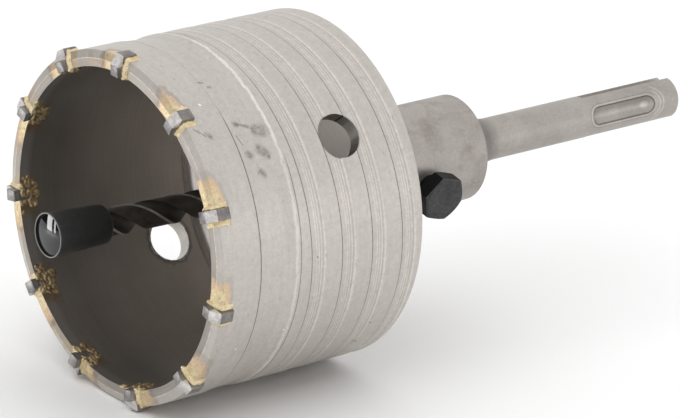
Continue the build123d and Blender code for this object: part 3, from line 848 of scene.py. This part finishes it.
TIP_HALF = 1.3 * MM
TIP_SEAT = 3.4 * MM
TIP_OUTSIDE = 1.15 * MM
TIP_INSIDE = 0.15 * MM
TIP_INNER_HEIGHT = 1.6 * MM
TIP_OUTER_HEIGHT = 0.3 * MM
TIP_HEEL = 0.7 * MM
TIP_BROKEN_EDGE = 0.10 * MM, 0.15 * MM
TIP_SEED, BRAZE_SEED = 40, 70
SHARP_ANGLE = 25.0
SMALL = 0.01 * MM


def carbide_tip(number, finish):
    """Tip with a two-bevel cutting edge, its edges slightly broken by sintering and use."""
    name = f"carbide_tip_{number:02d}"
    draw = random.Random(TIP_SEED + number)
    inner, outer = BORE - TIP_INSIDE, CUP_RADIUS + TIP_OUTSIDE
    bm = bmesh.new()
    prism(bm, [(inner, TIP_SEAT), (inner, -TIP_INNER_HEIGHT), TIP_RIDGE, (outer, -TIP_OUTER_HEIGHT),
               (outer, TIP_SEAT)], TIP_HALF)
    heel = [e for e in bm.edges if all(v.co.x > outer - SMALL and v.co.z > TIP_SEAT - SMALL for v in e.verts)]
    bmesh.ops.bevel(bm, geom=heel, offset=TIP_HEEL, offset_type="OFFSET", segments=5, profile=0.5,
                    affect="EDGES", material=-1)
    sharp = [e for e in bm.edges if e.calc_face_angle(0.0) > math.radians(SHARP_ANGLE)]
    broken = draw.uniform(*TIP_BROKEN_EDGE)
    bmesh.ops.bevel(bm, geom=sharp, offset=broken, offset_type="OFFSET", segments=2, profile=0.5,
                    affect="EDGES", material=-1)
    bmesh.ops.transform(bm, matrix=round_frame(turn_of(middle_of(name)), RIM), verts=bm.verts)
    make_piece(f"ground_tip_{number:02d}", bm, finish, 30.0, name)


# For each tip: the side of the tip that the bead of braze stands on, the bead's radius in mm, and how
# much braze lies on the bore wall. The sway, the heights and the drop are in mm too, and each rate is how
# many times a surface noise repeats in a metre.
BRAZE_HABIT = {
    1: (-1, 0.30, 0.15), 2: (-1, 0.46, 0.20), 3: (-1, 0.60, 0.35), 4: (-1, 0.60, 0.90),
    5: (-1, 0.48, 1.00), 6: (-1, 0.42, 1.00), 7: (1, 0.45, 1.00), 8: (1, 0.60, 0.90),
    9: (1, 0.62, 0.35), 10: (1, 0.66, 0.20), 11: (1, 0.33, 0.15),
}
BRAZE_HALF = 2.6 * MM
BRAZE_PROUD = 0.04 * MM
BRAZE_UNDER = 0.15 * MM
BEAD_INSIDE, BEAD_OUTSIDE = 2.6 * MM, 2.9 * MM
BEAD_SWAY = 0.09
SPILL_HALF_WIDTH = 3.9 * MM
SPLASH_COUNT = 5
LUMP_HEIGHT, LUMP_RATE = 0.075, 1300.0
PIT_HEIGHT, PIT_RATE = 0.045, 3200.0
FOLD_HEIGHT, FOLD_RATE, FOLD_DROP = 0.55, 900.0, 0.10
VOXEL = 0.13 * MM


def blob(bm, place, radius, flat=1.0):
    """A round lump of braze, thinner along the radius where flat is under 1."""
    shape = Matrix.Translation(place) @ Matrix.Diagonal((flat, 1, 1, 1))
    bmesh.ops.create_icosphere(bm, subdivisions=2, radius=radius, matrix=shape)


def bead_path(side, radius):
    """Centre line of a bead: up the bore wall, over the rim and down the outside wall."""
    across = side * (TIP_HALF + radius * 0.75)
    inner, outer, over = BORE - radius * 0.1, CUP_RADIUS + radius * 0.05, -radius * 0.25
    corners = [(inner, BEAD_INSIDE), (inner, over), (BORE + RIM_FLAT, over), (outer, RIM_BEVEL_DROP),
               (outer, BEAD_OUTSIDE)]
    points = []
    for (r0, z0), (r1, z1) in zip(corners, corners[1:]):
        steps = max(2, int(math.hypot(r1 - r0, z1 - z0) / (radius * 0.45)))
        points += [Vector((r0 + (r1 - r0) * k / steps, across, z0 + (z1 - z0) * k / steps))
                   for k in range(steps)]
    return points


def one_skin(bm, voxel):
    """A bmesh with one skin round everything that the given one holds."""
    raw = mesh_object("raw_braze", bm)
    mesh = raw.data
    skin = raw.modifiers.new("skin", "REMESH")
    skin.mode, skin.voxel_size = "VOXEL", voxel
    done = bpy.data.meshes.new_from_object(raw.evaluated_get(bpy.context.evaluated_depsgraph_get()))
    new = bmesh.new()
    new.from_mesh(done)
    bpy.data.objects.remove(raw)
    bpy.data.meshes.remove(mesh)
    bpy.data.meshes.remove(done)
    return new


def lay_bead(bm, draw, side, radius):
    """Lumps of much the same size that run into a bead beside the tip."""
    for point in bead_path(side, radius):
        sway = Vector((draw.uniform(-1, 1), draw.uniform(-1, 1), draw.uniform(-1, 1))) * BEAD_SWAY * MM
        blob(bm, point + sway, radius * draw.uniform(0.78, 1.08))


def spill_on_bore(bm, draw, inside):
    """Flat lumps on the bore wall, more and wider apart the more braze is inside."""
    for _ in range(int(4 + 16 * inside)):
        back = draw.uniform(0.4, 4.6) * MM
        room = SPILL_HALF_WIDTH * (1.2 - back / (7.0 * MM)) * (0.5 + 0.5 * inside)
        a = draw.uniform(-room, room) / BORE
        blob(bm, Vector((BORE * math.cos(a), BORE * math.sin(a), back)), draw.uniform(0.6, 1.25) * MM, 0.30)


def splash_outside(bm, draw, side):
    """Small lumps outside, on the side of the tip away from the bead."""
    for _ in range(SPLASH_COUNT):
        across = -side * draw.uniform(1.4, 2.9) * MM
        back = draw.uniform(0.8, 3.0) * MM
        blob(bm, Vector((CUP_RADIUS - 0.1 * MM, across, back)), draw.uniform(0.2, 0.34) * MM)


def roughen(bm, number):
    """Frozen, pitted surface, with deeper folds on the bore wall."""
    bmesh.ops.smooth_vert(bm, verts=bm.verts, factor=0.5, use_axis_x=True, use_axis_y=True, use_axis_z=True)
    bm.normal_update()
    for vert in bm.verts:
        deep = min(1.0, max(0.0, (BORE + 0.2 * MM - vert.co.x) / (0.3 * MM)))
        lump = noise.noise(vert.co * LUMP_RATE + Vector((number, 0, 0)))
        pit = noise.noise(vert.co * PIT_RATE + Vector((0, number, 0)))
        fold = abs(noise.noise(vert.co * FOLD_RATE + Vector((0, 0, number))))
        height = LUMP_HEIGHT * lump + PIT_HEIGHT * pit + deep * (FOLD_HEIGHT * fold - FOLD_DROP)
        vert.co += vert.normal * height * MM


def braze_piece(number, finish):
    """Filler metal: a flush block round the tip, a bead beside it and lumps on the bore wall."""
    side, thick, inside = BRAZE_HABIT[number]
    draw = random.Random(BRAZE_SEED + number)
    bm = bmesh.new()
    seat, proud = TIP_SEAT + BRAZE_UNDER, BRAZE_PROUD
    prism(bm, [(BORE - proud, seat), (BORE - proud, -proud), (BORE + RIM_FLAT, -proud),
               (CUP_RADIUS + proud, RIM_BEVEL_DROP), (CUP_RADIUS + proud, seat)], BRAZE_HALF)
    lay_bead(bm, draw, side, thick * MM)
    spill_on_bore(bm, draw, inside)
    splash_outside(bm, draw, side)
    bm = one_skin(bm, VOXEL)
    roughen(bm, number)
    place = round_frame(turn_of(middle_of(f"carbide_tip_{number:02d}")), RIM)
    bmesh.ops.transform(bm, matrix=place, verts=bm.verts)
    make_piece(f"filler_{number:02d}", bm, finish, 80.0, f"braze_{number:02d}")


carbide, braze = carbide_finish(), braze_finish()
dress("cup", cup_finish())
arbor = arbor_finish()
dress("arbor", arbor)
dress("set_bolt", bolt_finish())
dress("pilot_drill", drill_finish())
dress("pilot_tip", carbide)
make_cap(cap_finish())
make_shank_root(arbor)
make_bore_corner(corner_finish())
for number in range(1, TIP_COUNT + 1):
    carbide_tip(number, carbide)
    braze_piece(number, braze)


# Floor, light and camera. The windows and the board stand to the left of the rim, the way that the cap's
# polished front looks. The camera is the one fitted to the photograph, with its focal length in pixels.

WINDOW_WAY = Vector((-0.68, 0.733, 0))
WINDOW_AWAY, WINDOW_LIFT = 0.155, 0.002
BOARD_AWAY, BOARD_LIFT = 0.20, 0.05
BOARD_SIZE = 0.24, 0.10
FLOOR_SIZE = 8.0
WORLD_LIGHT = 0.55
FOCAL_PIXELS, PICTURE_PIXELS, SENSOR = 4192.53, 680, 36.0
CAMERA_PLACE = (-0.6012, -0.6994, 0.3298)
CAMERA_RIGHT = (0.7840, -0.6197, 0.0346)
CAMERA_UP = (0.1931, 0.2966, 0.9353)
CAMERA_BACK = (-0.5899, -0.7266, 0.3522)

floor_level = cad_box[0][2]
cap_foot = Vector((cad_box[0][0], 0, floor_level))


def make_sheet(name, place, width, height, finish):
    """Flat sheet for the stage, in the local x-y plane of its place."""
    bm = bmesh.new()
    bmesh.ops.create_grid(bm, x_segments=1, y_segments=1, size=0.5)
    sheet = mesh_object(name, bm)
    sheet.data.transform(place @ Matrix.Diagonal((width, height, 1, 1)))
    sheet.data.materials.append(finish.material)
    return sheet


def make_floor():
    f = Finish("pale_floor")
    f.set(Base_Color=(0.93, 0.93, 0.93, 1), Roughness=0.9)
    make_sheet("floor", Matrix.Translation((0, 0, floor_level)), FLOOR_SIZE, FLOOR_SIZE, f)


def make_dark_board():
    """Dark board off to the left, which only shows in polished parts."""
    f = Finish("dark_board")
    f.set(Base_Color=grey(0.01), Roughness=1.0, Specular_IOR_Level=0.0)
    stand = Matrix.Translation(WINDOW_WAY * BOARD_AWAY + cap_foot + Vector((0, 0, BOARD_LIFT)))
    upright = WINDOW_WAY.to_track_quat("Z", "Y").to_matrix().to_4x4()
    board = make_sheet("dark_board", stand @ upright, *BOARD_SIZE, f)
    board.visible_camera = board.visible_shadow = board.visible_diffuse = False


def soft_box(name, place, aim, width, height, power, in_gloss=True):
    data = bpy.data.lights.new(name, "AREA")
    data.shape, data.size, data.size_y, data.energy = "RECTANGLE", width, height, power
    lamp = add_object(name, data)
    lamp.location = place
    lamp.visible_glossy = in_gloss
    lamp.rotation_euler = (Vector(aim) - Vector(place)).to_track_quat("-Z", "Y").to_euler()


def window(name, aside, width, height, power):
    """Upright lamp in front of the board, as a window that shows in the cap's polished front."""
    across = Vector((-WINDOW_WAY.y, WINDOW_WAY.x, 0))
    foot = cap_foot + WINDOW_WAY * WINDOW_AWAY + across * aside
    place = foot + Vector((0, 0, height / 2 + WINDOW_LIFT))
    soft_box(name, place, place - WINDOW_WAY, width, height, power)


def make_world():
    """White to the camera, in gloss and through glass, and a softer light on the rest."""
    world = bpy.data.worlds.new("studio")
    bpy.context.scene.world = world
    world.use_nodes = True
    tree = world.node_tree
    tree.nodes.clear()

    def total(a, b):
        node = tree.nodes.new("ShaderNodeMath")
        node.operation, node.use_clamp = "ADD", True
        tree.links.new(a, node.inputs[0])
        tree.links.new(b, node.inputs[1])
        return node.outputs[0]

    def background(strength):
        node = tree.nodes.new("ShaderNodeBackground")
        node.inputs["Color"].default_value = (1, 1, 1, 1)
        node.inputs["Strength"].default_value = strength
        return node.outputs[0]

    path = tree.nodes.new("ShaderNodeLightPath").outputs
    seen = total(path["Is Camera Ray"], total(path["Is Glossy Ray"], path["Is Transmission Ray"]))
    mix = tree.nodes.new("ShaderNodeMixShader")
    for index, source in enumerate((seen, background(WORLD_LIGHT), background(1.0))):
        tree.links.new(source, mix.inputs[index])
    out = tree.nodes.new("ShaderNodeOutputWorld")
    tree.links.new(mix.outputs[0], out.inputs[0])


def make_camera():
    data = bpy.data.cameras.new("camera")
    data.sensor_width, data.sensor_fit = SENSOR, "HORIZONTAL"
    data.lens = FOCAL_PIXELS / PICTURE_PIXELS * SENSOR
    data.shift_x, data.shift_y = -0.0009, 0.0037
    data.clip_start, data.clip_end = 0.05, 50.0
    camera = add_object("camera", data)
    turn = Matrix((CAMERA_RIGHT, CAMERA_UP, CAMERA_BACK)).transposed().to_4x4()
    camera.matrix_world = Matrix.Translation(CAMERA_PLACE) @ turn
    bpy.context.scene.camera = camera


make_floor()
make_dark_board()
make_world()
soft_box("overhead", (-0.1, 0.0, 1.5), aim=(-0.1, 0, 0), width=3.0, height=3.0, power=30.0, in_gloss=False)
soft_box("side_fill", (0.9, -1.3, 0.12), aim=(-0.05, 0, 0), width=0.9, height=0.3, power=0.8)
window("wide_window", aside=-0.0066, width=0.025, height=0.041, power=0.03)
window("narrow_window", aside=0.020, width=0.008, height=0.041, power=0.009)
make_camera()
bpy.context.scene.view_settings.view_transform = "Standard"
